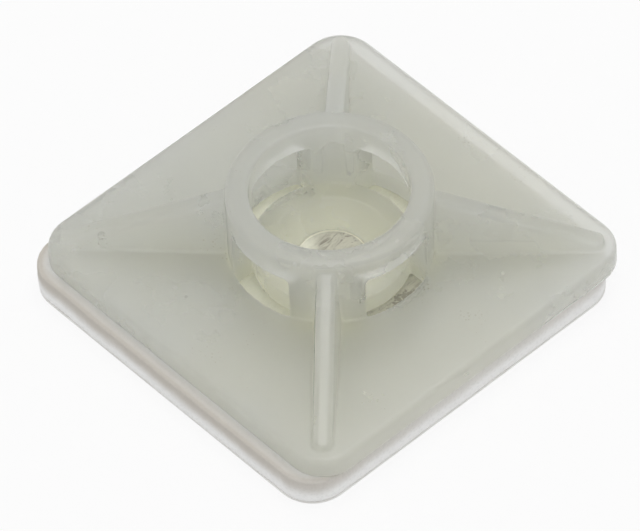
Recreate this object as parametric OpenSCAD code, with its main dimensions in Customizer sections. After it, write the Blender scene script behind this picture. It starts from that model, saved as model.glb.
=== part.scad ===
// Self-adhesive cable tie mount for ties up to 3.6 mm wide.
// A square base plate carries a slotted ring, four diagonal ribs and a countersunk screw hole,
// all one nylon moulding. A foam pad and its release liner lie under the plate.
// The origin is on the ring's axis at the liner's underside, and +Z is up.

/* [Base plate] */
// Side of the square base plate
plate_side = 20; // [18:0.5:40]
// Radius of the plate's corners, seen from above
plate_corner_r = 1.9; // [0.8:0.1:3]
// Thickness of the base plate
plate_t = 1.1; // [0.8:0.1:2]
// Rounding along the plate's top edge
plate_edge_r = 0.3; // [0.1:0.05:0.5]

/* [Ring] */
// Outer diameter of the ring
ring_od = 9.8; // [9:0.1:12]
// Thickness of the ring's wall
ring_wall = 1.1; // [0.8:0.05:1.3]
// Height of the ring above the plate
ring_h = 3.9; // [3.6:0.1:6]
// Rounding of the ring's outer top edge
ring_edge_r = 0.3; // [0.1:0.05:0.5]

/* [Tie slots] */
// Width of the four slots in the ring
slot_w = 3.9; // [2.6:0.1:4.4]
// Height of a slot above the plate
slot_h = 2.5; // [1.6:0.1:2.6]
// Rounding of a slot's upper corners
slot_corner_r = 0.35; // [0.1:0.05:0.6]

/* [Screw hole] */
// Diameter of the screw hole
hole_d = 3.4; // [2.6:0.1:4]
// Diameter of the countersink's mouth
countersink_d = 5.7; // [5:0.1:6.4]
// Straight length of the screw hole under the countersink
hole_land = 0.25; // [0.15:0.05:0.5]

/* [Ribs] */
// Width of a rib at its crest
rib_crest_w = 0.85; // [0.6:0.05:1.4]
// Rounding of a rib's crest
rib_crest_r = 0.25; // [0.05:0.05:0.25]
// Draft of a rib's sides, in degrees
rib_draft = 4; // [0:0.5:6]
// Drop from the ring's top to the crest where a rib leaves the ring
rib_drop = 0.45; // [0.35:0.05:1.2]
// Height of a rib's crest above the plate at its tip
rib_tip_h = 0.4; // [0.3:0.05:1]
// Distance from a rib's tip to the edge of the plate's corner
rib_tip_gap = 0.6; // [0.35:0.05:3]

/* [Foam pad] */
// Thickness of the foam pad
foam_t = 1.4; // [0.5:0.1:2]
// Radius of the pad's corners, seen from above
foam_corner_r = 1.9; // [0.8:0.1:3]
// How far off centre the pad was stuck on along X
foam_shift_x = -0.15; // [-1:0.05:1]
// How far off centre the pad was stuck on along Y
foam_shift_y = -0.6; // [-1:0.05:1]

/* [Release liner] */
// Thickness of the siliconised paper
liner_t = 0.1; // [0.05:0.01:0.2]

/* [Hidden] */
$fn = 96;
// How far a cut runs past the face that it leaves through
past = 1;

plate_z = liner_t + foam_t;
ring_r = ring_od / 2;
bore_r = ring_r - ring_wall;
ring_top = plate_t + ring_h;

// A rib runs along the diagonal, from inside the ring's wall to its tip near the plate's corner
corner_reach = (plate_side / 2 - plate_corner_r) * sqrt(2) + plate_corner_r;
rib_root = ring_r - ring_wall / 2;
rib_tip = corner_reach - rib_tip_gap;
rib_root_z = ring_top - rib_drop;
rib_tip_z = plate_t + rib_tip_h;
rib_slope = atan2(rib_root_z - rib_tip_z, rib_tip - ring_r);
rib_tip_r = rib_crest_w / 2 + rib_tip_h * tan(rib_draft);

// A square with rounded corners, centred on the origin
module rounded_square(side, corner_r) {
    core = side - 2 * corner_r;
    square([side, core], center = true);
    square([core, side], center = true);
    for (x = [-1, 1], y = [-1, 1])
        translate([x * core / 2, y * core / 2]) circle(r = corner_r);
}

// Half of a section that is square below, with its top outer corner rounded
module rim_section(half, height, edge_r) {
    square([half, height - edge_r]);
    square([half - edge_r, height]);
    translate([half - edge_r, height - edge_r]) circle(r = edge_r);
}

// The straight part of the plate along X, with both long top edges rounded
module plate_band(length) {
    rotate([90, 0, 90])
        linear_extrude(length, center = true)
            for (side = [0, 1])
                mirror([side, 0]) rim_section(plate_side / 2, plate_t, plate_edge_r);
}

module plate() {
    core = plate_side - 2 * plate_corner_r;
    plate_band(core);
    rotate(90) plate_band(core);
    for (x = [-1, 1], y = [-1, 1])
        translate([x * core / 2, y * core / 2])
            rotate_extrude() rim_section(plate_corner_r, plate_t, plate_edge_r);
}

// The ring's wall, from the plate's underside to its rounded top
module ring() {
    rotate_extrude()
        intersection() {
            rim_section(ring_r, ring_top, ring_edge_r);
            translate([bore_r, 0]) square([ring_wall, ring_top]);
        }
}

// The outline of a slot, seen along the tie: square at the plate, rounded under the bridge
module slot_outline() {
    square([slot_w, slot_h - slot_corner_r]);
    translate([slot_corner_r, 0]) square([slot_w - 2 * slot_corner_r, slot_h]);
    for (x = [slot_corner_r, slot_w - slot_corner_r])
        translate([x, slot_h - slot_corner_r]) circle(r = slot_corner_r);
}

// The way of a tie straight through the ring, in at one slot and out at the one across
module tie_tunnel() {
    rotate([90, 0, 90])
        linear_extrude(ring_od + 2 * past, center = true)
            translate([-slot_w / 2, plate_t]) slot_outline();
}

// The windows that the slots leave in the plate, as wide as a slot and as deep as the ring's wall
module plate_windows() {
    translate([0, 0, -past])
        linear_extrude(plate_t + 2 * past)
            intersection() {
                difference() {
                    circle(r = ring_r);
                    circle(r = bore_r);
                }
                for (turn = [0, 90])
                    rotate(turn) square([ring_od + past, slot_w], center = true);
            }
}

// The screw hole: a straight land below and a countersink that opens at the ring's floor
module screw_hole() {
    translate([0, 0, -past]) cylinder(d = hole_d, h = plate_t + past);
    translate([0, 0, hole_land]) cylinder(d1 = hole_d, d2 = countersink_d, h = plate_t - hole_land);
    translate([0, 0, plate_t]) cylinder(d = countersink_d, h = past);
}

// A rib's section below its crest: drafted sides and rounded shoulders
module rib_section(depth) {
    half = rib_crest_w / 2;
    foot = half + depth * tan(rib_draft);
    shoulder = rib_crest_r * tan(rib_draft);
    polygon([
        [-half - shoulder, -rib_crest_r],
        [-foot, -depth],
        [foot, -depth],
        [half + shoulder, -rib_crest_r],
    ]);
    translate([rib_crest_r - half, -rib_crest_r]) square([rib_crest_w - 2 * rib_crest_r, rib_crest_r]);
    for (x = [-1, 1])
        translate([x * (half - rib_crest_r), -rib_crest_r]) circle(r = rib_crest_r);
}

// A rib that points along +X: its section run down the slope, cut to its outline from above
module rib() {
    intersection() {
        translate([ring_r, 0, rib_root_z])
            rotate([0, rib_slope, 0])
                rotate([90, 0, 90])
                    translate([0, 0, -ring_wall])
                        linear_extrude(plate_side) rib_section(ring_top);
        translate([0, 0, plate_t / 2])
            linear_extrude(ring_top) {
                translate([rib_root, -ring_wall]) square([rib_tip - rib_tip_r - rib_root, 2 * ring_wall]);
                translate([rib_tip - rib_tip_r, 0]) circle(r = rib_tip_r);
            }
    }
}

module mount_body() {
    color("honeydew")
        translate([0, 0, plate_z])
            difference() {
                union() {
                    plate();
                    difference() {
                        ring();
                        for (turn = [0, 90]) rotate(turn) tie_tunnel();
                    }
                    for (turn = [45:90:315]) rotate(turn) rib();
                }
                plate_windows();
                screw_hole();
            }
}

module foam_outline() {
    translate([foam_shift_x, foam_shift_y]) rounded_square(plate_side, foam_corner_r);
}

module foam_pad() {
    color("white")
        translate([0, 0, liner_t]) linear_extrude(foam_t) foam_outline();
}

module release_liner() {
    color("ivory")
        linear_extrude(liner_t) foam_outline();
}

mount_body();
foam_pad();
release_liner();
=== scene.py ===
import math

import bmesh
import bpy
from mathutils import Matrix, Vector, noise


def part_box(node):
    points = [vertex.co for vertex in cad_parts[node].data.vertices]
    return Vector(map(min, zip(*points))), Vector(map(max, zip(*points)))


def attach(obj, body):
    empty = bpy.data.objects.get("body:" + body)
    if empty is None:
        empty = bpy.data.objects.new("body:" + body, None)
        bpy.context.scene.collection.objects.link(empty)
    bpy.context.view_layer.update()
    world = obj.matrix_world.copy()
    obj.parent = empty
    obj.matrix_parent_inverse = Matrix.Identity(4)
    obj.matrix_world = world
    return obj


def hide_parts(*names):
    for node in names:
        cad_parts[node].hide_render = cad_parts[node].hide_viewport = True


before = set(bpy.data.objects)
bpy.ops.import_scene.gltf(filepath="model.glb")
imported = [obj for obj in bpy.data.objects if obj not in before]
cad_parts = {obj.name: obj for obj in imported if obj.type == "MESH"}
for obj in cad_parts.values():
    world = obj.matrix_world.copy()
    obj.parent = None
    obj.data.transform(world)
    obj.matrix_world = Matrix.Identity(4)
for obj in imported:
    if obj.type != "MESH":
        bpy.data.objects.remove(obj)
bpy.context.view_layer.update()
scene = bpy.context.scene
mm = 0.001

mouldLow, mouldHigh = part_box("mount_body")
padLow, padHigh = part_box("foam_pad")
linerLow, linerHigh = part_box("release_liner")
plateZ = mouldLow.z       # underside of the plate
floorZ = linerLow.z       # the mount lies on its liner
print("frame: loaded", len(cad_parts), "nodes")

cameraSetup = {
    "azimuth": 49.09,           # degrees, 0 looks along +Y
    "elevation": 49.05,
    "roll": -2.76,
    "distance": 374.5 * mm,
    "lens": 448.4,
    "sensor": 36,
    "near": 0.01,               # metres
    "far": 10,
    "aimRight": -0.588 * mm,    # where the view is centred, from the middle of the plate's underside
    "aimUp": -0.361 * mm,
}


def makeCamera(s):
    a = math.radians(s["azimuth"])
    e = math.radians(s["elevation"])
    r = math.radians(s["roll"])
    back = Vector((math.sin(a) * math.cos(e), -math.cos(a) * math.cos(e), math.sin(e)))
    level = Vector((math.cos(a), math.sin(a), 0))
    rise = back.cross(level)
    right = level * math.cos(r) + rise * math.sin(r)
    up = rise * math.cos(r) - level * math.sin(r)
    aim = Vector((0, 0, plateZ)) + right * s["aimRight"] + up * s["aimUp"]
    data = bpy.data.cameras.new("camera")
    data.lens = s["lens"]
    data.sensor_width = s["sensor"]
    data.clip_start = s["near"]
    data.clip_end = s["far"]
    camera = bpy.data.objects.new("camera", data)
    turn = Matrix((right, up, back)).transposed()
    camera.matrix_world = Matrix.Translation(aim + back * s["distance"]) @ turn.to_4x4()
    scene.collection.objects.link(camera)
    scene.camera = camera


makeCamera(cameraSetup)
print("camera: placed")


def rgba(r, g, b):
    return (r, g, b, 1)


def feed(tree, socket, value):
    # a node's output is linked, and anything else is set
    if isinstance(value, bpy.types.NodeSocket):
        tree.links.new(value, socket)
    elif value is not None:
        socket.default_value = value


def newMaterial(name):
    material = bpy.data.materials.new(name)
    material.use_nodes = True
    tree = material.node_tree
    shader = tree.nodes["Principled BSDF"]
    coords = tree.nodes.new("ShaderNodeTexCoord")
    return material, tree, shader, coords.outputs["Object"]


def addNode(tree, kind, settings=None, **values):
    node = tree.nodes.new(kind)
    for key, value in (settings or {}).items():
        setattr(node, key, value)
    for key, value in values.items():
        feed(tree, node.inputs[key.replace("_", " ")], value)
    return node


def maths(tree, operation, first, second=0.0, third=None, clamp=False):
    node = tree.nodes.new("ShaderNodeMath")
    node.operation = operation
    node.use_clamp = clamp
    for index, value in enumerate((first, second, third)):
        feed(tree, node.inputs[index], value)
    return node.outputs[0]


def times(tree, first, second):
    return maths(tree, "MULTIPLY", first, second)


def between(tree, value, low, high, start=0.0, end=1.0):
    # value from low to high becomes start to end, eased at both ends
    node = addNode(tree, "ShaderNodeMapRange", {"interpolation_type": "SMOOTHSTEP"}, Value=value,
                   From_Min=low, From_Max=high, To_Min=start, To_Max=end)
    return node.outputs[0]


def mixColour(tree, factor, first, second):
    node = tree.nodes.new("ShaderNodeMix")
    node.data_type = "RGBA"
    for index, value in ((0, factor), (6, first), (7, second)):     # its sockets for colours
        feed(tree, node.inputs[index], value)
    return node.outputs[2]


def cloudNoise(tree, place, scale, detail=2, roughness=0.5, distortion=0.0):
    node = addNode(tree, "ShaderNodeTexNoise", Vector=place, Scale=scale, Detail=detail,
                   Roughness=roughness, Distortion=distortion)
    return node.outputs["Fac"]


def addBump(tree, shader, height, strength, depth):
    bump = addNode(tree, "ShaderNodeBump", Height=height, Strength=strength, Distance=depth)
    tree.links.new(bump.outputs["Normal"], shader.inputs["Normal"])


def newGroup(name, inputs, outputs):
    tree = bpy.data.node_groups.new(name, "ShaderNodeTree")
    for label, kind, value in inputs:
        socket = tree.interface.new_socket(label, in_out="INPUT", socket_type=kind)
        if value is not None:
            socket.default_value = value
    for label, kind in outputs:
        tree.interface.new_socket(label, in_out="OUTPUT", socket_type=kind)
    given = tree.nodes.new("NodeGroupInput").outputs
    put = tree.nodes.new("NodeGroupOutput").inputs
    return tree, given, put


def placeGroup(tree, group, **values):
    return addNode(tree, "ShaderNodeGroup", {"node_tree": group}, **values).outputs


def buildClouding():
    # two tones that drift into each other in soft patches, with a finer clouding in them
    tree, given, put = newGroup("clouding", [
        ("Place", "NodeSocketVector", None),
        ("Patch Scale", "NodeSocketFloat", 200.0),
        ("First", "NodeSocketColor", rgba(0.8, 0.8, 0.8)),
        ("Second", "NodeSocketColor", rgba(0.7, 0.7, 0.7)),
        ("Fine", "NodeSocketFloat", 0.2),
    ], [("Colour", "NodeSocketColor")])
    finer = 7
    broad = cloudNoise(tree, given["Place"], given["Patch Scale"], 2, 0.4)
    fine = cloudNoise(tree, given["Place"], times(tree, given["Patch Scale"], finer), 4, 0.6)
    patches = between(tree, broad, 0.34, 0.66)
    drift = times(tree, maths(tree, "SUBTRACT", fine, 0.5), given["Fine"])
    amount = maths(tree, "ADD", patches, drift, clamp=True)
    tree.links.new(mixColour(tree, amount, given["First"], given["Second"]), put["Colour"])
    return tree


def buildGrain():
    # height of a fine moulded or cut surface, with sparse scratches
    tree, given, put = newGroup("surfaceGrain", [
        ("Place", "NodeSocketVector", None),
        ("Grain Scale", "NodeSocketFloat", 3000.0),
        ("Scratches", "NodeSocketFloat", 0.3),
    ], [("Height", "NodeSocketFloat")])
    patchScale, lineScale = 500, 4000
    grain = cloudNoise(tree, given["Place"], given["Grain Scale"], 3, 0.6)
    patch = between(tree, cloudNoise(tree, given["Place"], patchScale, 2), 0.5, 0.62)
    drawn = addNode(tree, "ShaderNodeMapping", Vector=given["Place"],
                    Rotation=(0.3, 0.2, 0.9), Scale=(1, 0.04, 1))     # turned, and drawn out long
    cut = between(tree, cloudNoise(tree, drawn.outputs[0], lineScale, 1), 0.66, 0.72)
    scratch = times(tree, times(tree, cut, patch), given["Scratches"])
    tree.links.new(maths(tree, "SUBTRACT", grain, scratch), put["Height"])
    return tree


def buildDust():
    # mask of fine dust: small grains gathered in loose patches
    tree, given, put = newGroup("dust", [
        ("Place", "NodeSocketVector", None),
        ("Grains", "NodeSocketFloat", 6000.0),
        ("Amount", "NodeSocketFloat", 0.3),
    ], [("Mask", "NodeSocketFloat")])
    patchScale, softEdge = 420, 0.12
    cells = addNode(tree, "ShaderNodeTexVoronoi", Vector=given["Place"], Scale=given["Grains"],
                    Randomness=1)
    drift = cloudNoise(tree, given["Place"], patchScale, 4, 0.65)
    reach = times(tree, between(tree, drift, 0.45, 0.75), given["Amount"])
    grains = maths(tree, "SUBTRACT", reach, cells.outputs["Distance"])
    tree.links.new(between(tree, grains, 0, softEdge), put["Mask"])
    return tree


clouding = buildClouding()
surfaceGrain = buildGrain()
dust = buildDust()
print("finishes: shared groups built")

# the moulding takes its shape from the solid and is clear nylon with a milky inside
mouldSetup = {
    "weld": 0.002 * mm,
    "voxel": 0.07 * mm,
    "smoothing": 4,
    "smoothFactor": 0.5,
    "triangles": 180000,                    # what the remeshed solid is thinned to; few enough to be kept whole
    "cool": rgba(0.985, 0.995, 0.99),
    "warm": rgba(0.995, 0.995, 0.95),
    "patchScale": 150,
    "patchFine": 0.35,
    "dust": rgba(0.55, 0.52, 0.44),
    "dustGrains": 5200,
    "dustAmount": 0.35,
    "dustCover": 0.5,
    "smearScale": 260,
    "smearHeight": 2.5,
    "roughness": (0.25, 0.34),
    "grainScale": 2400,
    "bump": (0.12, 0.02 * mm),              # strength, depth
    "ior": 1.53,
    "milk": rgba(0.999, 0.999, 0.997),      # what is left of light at each turn inside
    "milkDensity": 1350,                    # turns in a metre
    "milkForward": 0.5,
    "tint": rgba(0.6, 0.62, 0.2),
    "tintDensity": 48,
    "bounces": {                            # milky plastic sends light round inside it many times
        "max_bounces": 64,
        "volume_bounces": 64,
        "transmission_bounces": 32,
        "glossy_bounces": 32,
        "diffuse_bounces": 8,
    },
}


def makeNylon(s):
    material, tree, shader, coords = newMaterial("naturalNylon")
    cloud = placeGroup(tree, clouding, Place=coords, Patch_Scale=s["patchScale"],
                       First=s["cool"], Second=s["warm"], Fine=s["patchFine"])
    dirt = placeGroup(tree, dust, Place=coords, Grains=s["dustGrains"], Amount=s["dustAmount"])
    cover = times(tree, dirt["Mask"], s["dustCover"])
    colour = mixColour(tree, cover, cloud["Colour"], s["dust"])
    tree.links.new(colour, shader.inputs["Base Color"])
    smears = cloudNoise(tree, coords, s["smearScale"], 4, 0.6)
    gloss = between(tree, smears, 0.3, 0.7, *s["roughness"])
    tree.links.new(gloss, shader.inputs["Roughness"])
    grain = placeGroup(tree, surfaceGrain, Place=coords, Grain_Scale=s["grainScale"], Scratches=0)
    height = maths(tree, "ADD", grain["Height"], times(tree, smears, s["smearHeight"]))
    addBump(tree, shader, height, *s["bump"])
    shader.inputs["IOR"].default_value = s["ior"]
    shader.inputs["Transmission Weight"].default_value = 1
    milk = addNode(tree, "ShaderNodeVolumeScatter", Color=s["milk"], Density=s["milkDensity"],
                   Anisotropy=s["milkForward"])
    tint = addNode(tree, "ShaderNodeVolumeAbsorption", Color=s["tint"], Density=s["tintDensity"])
    inside = tree.nodes.new("ShaderNodeAddShader")
    tree.links.new(milk.outputs[0], inside.inputs[0])
    tree.links.new(tint.outputs[0], inside.inputs[1])
    tree.links.new(inside.outputs[0], tree.nodes["Material Output"].inputs["Volume"])
    return material


def weldedCopy(node, name, weld):
    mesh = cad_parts[node].data.copy()
    mesh.name = name
    work = bmesh.new()
    work.from_mesh(mesh)
    bmesh.ops.remove_doubles(work, verts=work.verts, dist=weld)
    work.to_mesh(mesh)
    work.free()
    mesh.materials.clear()
    piece = bpy.data.objects.new(name, mesh)
    scene.collection.objects.link(piece)
    return piece


def applyModifiers(piece):
    bpy.context.view_layer.update()
    evaluated = piece.evaluated_get(bpy.context.evaluated_depsgraph_get())
    mesh = bpy.data.meshes.new_from_object(evaluated)
    piece.modifiers.clear()
    old = piece.data
    piece.data = mesh
    bpy.data.meshes.remove(old)


def makeMoulding(s):
    piece = weldedCopy("mount_body", "mountMoulding", s["weld"])
    remesh = piece.modifiers.new("remesh", "REMESH")
    remesh.mode = "VOXEL"
    remesh.voxel_size = s["voxel"]
    remesh.use_smooth_shade = True
    smooth = piece.modifiers.new("smooth", "SMOOTH")
    smooth.factor = s["smoothFactor"]
    smooth.iterations = s["smoothing"]
    applyModifiers(piece)
    piece.data.calc_loop_triangles()
    thin = piece.modifiers.new("thin", "DECIMATE")
    thin.ratio = min(1, s["triangles"] / len(piece.data.loop_triangles))
    applyModifiers(piece)
    for face in piece.data.polygons:
        face.use_smooth = True
    piece.data.materials.clear()
    piece.data.materials.append(makeNylon(s))
    for name, count in s["bounces"].items():
        setattr(scene.cycles, name, count)
    return piece


moulding = makeMoulding(mouldSetup)
print("moulding:", len(moulding.data.polygons), "faces")
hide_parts("mount_body")
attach(moulding, "root")

# the foam pad is flat tape with a knife-cut edge, with lint where the moulding leaves it open and
# painted shade where the plate overhangs it
padSetup = {
    "corner": 1.9 * mm,
    "around": 960,                    # points round the edge
    "underRows": 5,
    "sideRows": 16,
    "topRows": 34,
    "topReach": 0.97,                 # share of the way out where the top's rows start
    "edgeRound": 0.07 * mm,
    "edgeCut": 0.6,                   # how much the rows beside the edge follow the cut
    "roundWithin": 0.3,               # share of the way out where the rows stop being circles
    "turnSquare": 0.5,                # and the share over which they turn square
    "wander": 0.05 * mm,              # how far the knife strayed
    "wanderLength": 2.4 * mm,
    "wanderRise": 0.3,                # how much the straying changes with height
    "pits": 0.035 * mm,               # depth of the cut cells
    "pitSize": 0.17 * mm,
    "bulge": 0.03 * mm,
    "colour": rgba(0.95, 0.95, 0.94),
    "cell": rgba(0.88, 0.88, 0.87),
    "cellScale": 5600,
    "roughness": 0.75,
    "grainScale": 9000,
    "bump": (0.3, 0.03 * mm),
    "paintedShade": rgba(0.50, 0.46, 0.40),            # painted shade along the cut edge under the plate, and the plate's painted shadow on the ledge
    "shadeDrift": (700, 0.4),                   # scale, amount
    "shadeFrom": (-6 * mm, 9 * mm),             # along X plus Y
    "shadeCover": (0.85, 0.5),
    "under": rgba(0.72, 0.72, 0.70),            # under the plate, darker than under the ring
    "middle": rgba(0.97, 0.96, 0.82),           # under the ring: painted light that lifts the dish in the ring's shade
    "middleEdge": (4.6 * mm, 5.6 * mm),
    "plateHalf": 10 * mm,
    "ledge": (-0.05 * mm, 0.25 * mm, 0.7),      # start and end past the plate's edge, and cover of the plate's painted shadow there
    "adhesive": rgba(0.84, 0.84, 0.70),         # bare in the hole and the windows
    "hole": 1.72 * mm,
    "window": (3.8 * mm, 4.9 * mm, 1.95 * mm),  # inner and outer radius, half the width
    "softEdge": 0.1 * mm,
    "lint": rgba(0.17, 0.145, 0.11),
    "hairScale": 5200,
    "hairs": (0.45, 0.68),
    "lintGrains": 7000,
    "lintAmount": 0.9,
    "holeLint": (-1.2 * mm, -0.5 * mm, 0.25, 1),
    # lint and painted shade: heavier in the +X window, where the ring shades it
    "windowLintAndShade": (2.5 * mm, 3.6 * mm, 0.12, 0.8),
}


def squareRing(half, corner, count):
    # points round a square with rounded corners, each with its outward direction
    straight = 2 * (half - corner)
    arc = math.pi / 2 * corner
    total = 4 * (straight + arc)
    points = []
    for i in range(count):
        d = (i + 0.5) / count * total
        side = int(d // (straight + arc))
        d -= side * (straight + arc)
        if d < straight:
            x, y, nx, ny = half, -straight / 2 + d, 1, 0
        else:
            t = (d - straight) / corner
            nx, ny = math.cos(t), math.sin(t)
            x = half - corner + corner * nx
            y = half - corner + corner * ny
        c, w = ((1, 0), (0, 1), (-1, 0), (0, -1))[side]
        points.append((x * c - y * w, x * w + y * c, nx * c - ny * w, nx * w + ny * c))
    return points


def padRows(s, half):
    # from the middle of the underside, up the cut side, to the middle of the top:
    # each row's share of the way out, its height, and how much it follows the cut
    low, high, bend = padLow.z, padHigh.z, s["edgeRound"]
    faceEnd = 1 - bend * 2 / half
    turned = 1 - bend * 0.4 / half
    rows = [(i / s["underRows"], low, 0) for i in range(1, s["underRows"])]
    rows += [(faceEnd, low, s["edgeCut"]), (turned, low + bend * 0.3, 1)]
    for i in range(s["sideRows"]):
        rows.append((1, low + bend + (high - low - 2 * bend) * i / (s["sideRows"] - 1), 1))
    rows += [(turned, high - bend * 0.3, 1), (faceEnd, high, s["edgeCut"])]
    for i in range(s["topRows"] - 1, 0, -1):
        rows.append((i / s["topRows"] * s["topReach"], high, 0))
    return rows


def padPoint(s, middle, half, rimPoint, row):
    x, y, nx, ny = rimPoint
    share, z, cut = row
    # towards the middle the square turns into a circle
    k = min(1, max(0, (share - s["roundWithin"]) / s["turnSquare"]))
    reach = math.hypot(x, y)
    px = (x * k + x / reach * half * (1 - k)) * share
    py = (y * k + y / reach * half * (1 - k)) * share
    p = Vector((middle.x + px, middle.y + py, z))
    if cut:
        slow = noise.noise(Vector((p.x, p.y, p.z * s["wanderRise"])) / s["wanderLength"])
        fine = noise.noise(p / s["pitSize"])
        level = (z - padLow.z) / (padHigh.z - padLow.z)
        out = s["wander"] * slow - s["pits"] * max(0, fine) + s["bulge"] * math.sin(math.pi * level)
        p.x += nx * out * cut
        p.y += ny * out * cut
    return p


def makePad(s):
    middle = (padLow + padHigh) / 2
    half = (padHigh.x - padLow.x) / 2
    rim = squareRing(half, s["corner"], s["around"])
    rows = padRows(s, half)
    work = bmesh.new()
    rings = [[work.verts.new(padPoint(s, middle, half, at, row)) for at in rim] for row in rows]
    for first, second in zip(rings, rings[1:]):
        for i in range(len(rim)):
            j = (i + 1) % len(rim)
            work.faces.new((first[i], first[j], second[j], second[i]))
    for ring, z in ((rings[0], padLow.z), (rings[-1], padHigh.z)):
        centre = work.verts.new((middle.x, middle.y, z))
        for i in range(len(rim)):
            work.faces.new((ring[i], ring[(i + 1) % len(rim)], centre))
    bmesh.ops.recalc_face_normals(work, faces=work.faces)
    mesh = bpy.data.meshes.new("foamTape")
    work.to_mesh(mesh)
    work.free()
    onEdge = mesh.attributes.new("cutEdge", "FLOAT", "POINT")
    for row, (share, z, cut) in enumerate(rows):
        for i in range(len(rim)):
            onEdge.data[row * len(rim) + i].value = 1 if cut else 0
    for face in mesh.polygons:
        face.use_smooth = True
    piece = bpy.data.objects.new("foamTape", mesh)
    scene.collection.objects.link(piece)
    mesh.materials.append(makeFoam(s))
    return piece


def caughtLint(s, tree, coords):
    # short hairs and grains stuck to bare adhesive
    drawn = addNode(tree, "ShaderNodeMapping", Vector=coords, Rotation=(0, 0, 0.5),
                    Scale=(1, 0.25, 1))
    hairs = cloudNoise(tree, drawn.outputs[0], s["hairScale"], 5, 0.7, 1.4)
    caught = placeGroup(tree, dust, Place=coords, Grains=s["lintGrains"], Amount=s["lintAmount"])
    return maths(tree, "MAXIMUM", between(tree, hairs, *s["hairs"]), caught["Mask"])


def makeFoam(s):
    material, tree, shader, coords = newMaterial("whiteFoamTape")
    place = addNode(tree, "ShaderNodeSeparateXYZ", Vector=coords)
    east, north = place.outputs["X"], place.outputs["Y"]
    eastSize = maths(tree, "ABSOLUTE", east)
    northSize = maths(tree, "ABSOLUTE", north)
    level = between(tree, place.outputs["Z"], padLow.z, padHigh.z)
    flat = addNode(tree, "ShaderNodeCombineXYZ", X=east, Y=north).outputs[0]
    length = addNode(tree, "ShaderNodeVectorMath", {"operation": "LENGTH"}, Vector=flat)
    away = length.outputs["Value"]      # from the ring's axis
    onEdge = addNode(tree, "ShaderNodeAttribute", {"attribute_name": "cutEdge"}).outputs["Fac"]
    cells = addNode(tree, "ShaderNodeTexVoronoi", Vector=coords, Scale=s["cellScale"])
    pits = between(tree, cells.outputs["Distance"], 0.05, 0.6)

    # the cut side: open cells, with painted shade along its top under the plate's overhang that is
    # heavier towards -Y
    driftScale, driftAmount = s["shadeDrift"]
    drift = maths(tree, "SUBTRACT", cloudNoise(tree, coords, driftScale, 4, 0.6), 0.5)
    # painted shade: darker towards the top of the cut side, where the plate overhangs it
    shadeLevel = maths(tree, "ADD", level, times(tree, drift, driftAmount))
    heavy = between(tree, maths(tree, "ADD", east, north), *s["shadeFrom"], *s["shadeCover"])
    shadeMask = times(tree, times(tree, between(tree, shadeLevel, 0.1, 1.0), heavy), onEdge)
    side = mixColour(tree, pits, s["cell"], s["colour"])
    side = mixColour(tree, shadeMask, side, s["paintedShade"])

    # the top: plain where it is stuck down under the plate, with a painted shadow of the plate on
    # the ledge outside it
    # painted light: lighter and warmer under the ring, against the ring's shade on the dish
    top = mixColour(tree, between(tree, away, *s["middleEdge"]), s["middle"], s["under"])
    start, end, cover = s["ledge"]
    reach = maths(tree, "MAXIMUM", eastSize, northSize)
    # painted shadow: the plate's shadow on the ledge just outside its edge
    ledge = between(tree, reach, s["plateHalf"] + start, s["plateHalf"] + end, 0, cover)
    top = mixColour(tree, ledge, top, s["paintedShade"])

    # bare adhesive inside the plate's hole and windows, with lint caught on it, and painted shade as
    # heavier lint in the +X window
    hole = between(tree, away, s["hole"], s["hole"] * 0.94)
    inner, outer, wide = s["window"]
    soft = s["softEdge"]
    across = maths(tree, "MINIMUM", eastSize, northSize)
    window = times(tree, between(tree, away, inner - soft, inner),
                   between(tree, away, outer + soft, outer))
    window = times(tree, window, between(tree, across, wide + soft, wide))
    holeSide = maths(tree, "ADD", times(tree, east, 0.66), times(tree, north, 0.75))
    inHole = times(tree, hole, between(tree, holeSide, *s["holeLint"]))
    # real lint together with painted shade: heavier towards +X, where the ring's shade falls in the
    # window
    inWindow = times(tree, window, between(tree, east, *s["windowLintAndShade"]))
    lint = maths(tree, "ADD", times(tree, caughtLint(s, tree, coords), 0.5), 0.42)
    lint = times(tree, lint, maths(tree, "MAXIMUM", inHole, inWindow))
    bare = mixColour(tree, lint, s["adhesive"], s["lint"])
    top = mixColour(tree, maths(tree, "MAXIMUM", hole, window), top, bare)

    tree.links.new(mixColour(tree, onEdge, top, side), shader.inputs["Base Color"])
    grain = placeGroup(tree, surfaceGrain, Place=coords, Grain_Scale=s["grainScale"], Scratches=0)
    height = maths(tree, "ADD", times(tree, pits, 0.8), grain["Height"])
    addBump(tree, shader, height, *s["bump"])
    shader.inputs["Roughness"].default_value = s["roughness"]
    return material


pad = makePad(padSetup)
print("pad:", len(pad.data.polygons), "faces")
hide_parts("foam_pad")
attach(pad, "root")

# the liner is the solid's own sheet in release paper
linerSetup = {
    "colour": rgba(0.94, 0.935, 0.91),
    "fibre": rgba(0.88, 0.87, 0.84),
    "fibreScale": 900,
    "fibreFine": 0.8,
    "roughness": 0.55,
    "grainScale": 4000,
    "scratches": 0.2,
    "bump": (0.3, 0.01 * mm),
}


def makePaper(s):
    material, tree, shader, coords = newMaterial("linerPaper")
    cloud = placeGroup(tree, clouding, Place=coords, Patch_Scale=s["fibreScale"],
                       First=s["colour"], Second=s["fibre"], Fine=s["fibreFine"])
    tree.links.new(cloud["Colour"], shader.inputs["Base Color"])
    grain = placeGroup(tree, surfaceGrain, Place=coords, Grain_Scale=s["grainScale"],
                       Scratches=s["scratches"])
    addBump(tree, shader, grain["Height"], *s["bump"])
    shader.inputs["Roughness"].default_value = s["roughness"]
    return material


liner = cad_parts["release_liner"]
liner.data.materials.clear()
liner.data.materials.append(makePaper(linerSetup))
print("liner: papered")

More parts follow.
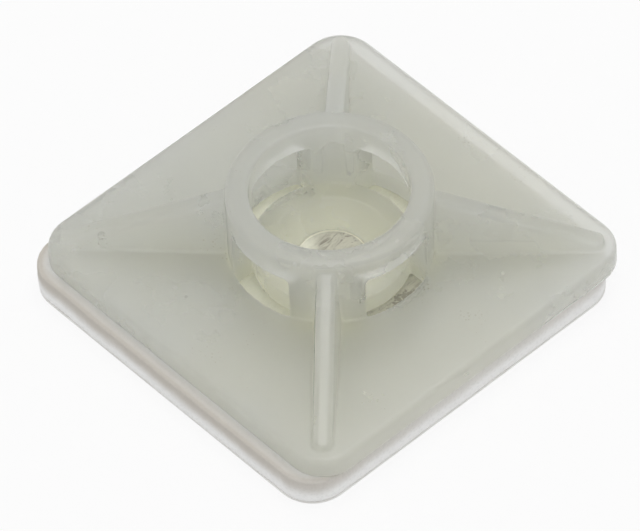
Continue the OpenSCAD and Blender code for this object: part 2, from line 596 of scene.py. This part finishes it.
# a white floor and soft light, mostly from above
stageSetup = {
    "size": 1.2,
    "white": rgba(0.93, 0.93, 0.93),
    "glowWhite": rgba(0.985, 0.985, 0.985),
    "glow": 0.86,          # share of the floor's look that is plain white to the camera
    "sky": rgba(1, 1, 1),
    "skyStrength": 0.6,
    "lamps": {             # power in watts, size, place
        "key": (0.14, 0.22, (-0.11, 0.22, 0.365)),
        "top": (0.68, 0.30, (0.0, 0.04, 0.43)),
    },
}


def seenDirectly(tree, share):
    # 1 for rays that show the surroundings in or through something, share for the camera's own
    path = tree.nodes.new("ShaderNodeLightPath")
    through = maths(tree, "MAXIMUM", path.outputs["Is Glossy Ray"],
                    path.outputs["Is Transmission Ray"])
    return maths(tree, "MAXIMUM", times(tree, path.outputs["Is Camera Ray"], share), through)


def makeFloor(s):
    mesh = bpy.data.meshes.new("floor")
    h = s["size"] / 2
    corners = [(-h, -h, floorZ), (h, -h, floorZ), (h, h, floorZ), (-h, h, floorZ)]
    mesh.from_pydata(corners, [], [(0, 1, 2, 3)])
    floor = bpy.data.objects.new("floor", mesh)
    scene.collection.objects.link(floor)
    material = bpy.data.materials.new("floorWhite")
    material.use_nodes = True
    tree = material.node_tree
    tree.nodes.clear()
    out = tree.nodes.new("ShaderNodeOutputMaterial")
    diffuse = addNode(tree, "ShaderNodeBsdfDiffuse", Color=s["white"])
    white = addNode(tree, "ShaderNodeEmission", Color=s["glowWhite"], Strength=1)
    mix = tree.nodes.new("ShaderNodeMixShader")
    tree.links.new(seenDirectly(tree, s["glow"]), mix.inputs[0])
    tree.links.new(diffuse.outputs[0], mix.inputs[1])
    tree.links.new(white.outputs[0], mix.inputs[2])
    tree.links.new(mix.outputs[0], out.inputs["Surface"])
    mesh.materials.append(material)


def makeLight(s):
    world = bpy.data.worlds.new("studio")
    scene.world = world
    world.use_nodes = True
    tree = world.node_tree
    sky = tree.nodes["Background"]
    sky.inputs["Color"].default_value = s["sky"]
    # the sky is plain white where it is seen, and softer where it only lights
    strength = maths(tree, "MULTIPLY_ADD", seenDirectly(tree, 1), 1 - s["skyStrength"],
                     s["skyStrength"])
    tree.links.new(strength, sky.inputs["Strength"])
    for name, (power, size, at) in s["lamps"].items():
        data = bpy.data.lights.new(name, "AREA")
        data.shape = "SQUARE"
        data.size = size
        data.energy = power
        lamp = bpy.data.objects.new(name, data)
        place = Vector(at)
        turn = place.to_track_quat("Z", "Y").to_matrix().to_4x4()
        lamp.matrix_world = Matrix.Translation(place) @ turn
        scene.collection.objects.link(lamp)


makeFloor(stageSetup)
makeLight(stageSetup)
scene.view_settings.view_transform = "Standard"
print("stage: floor and light")
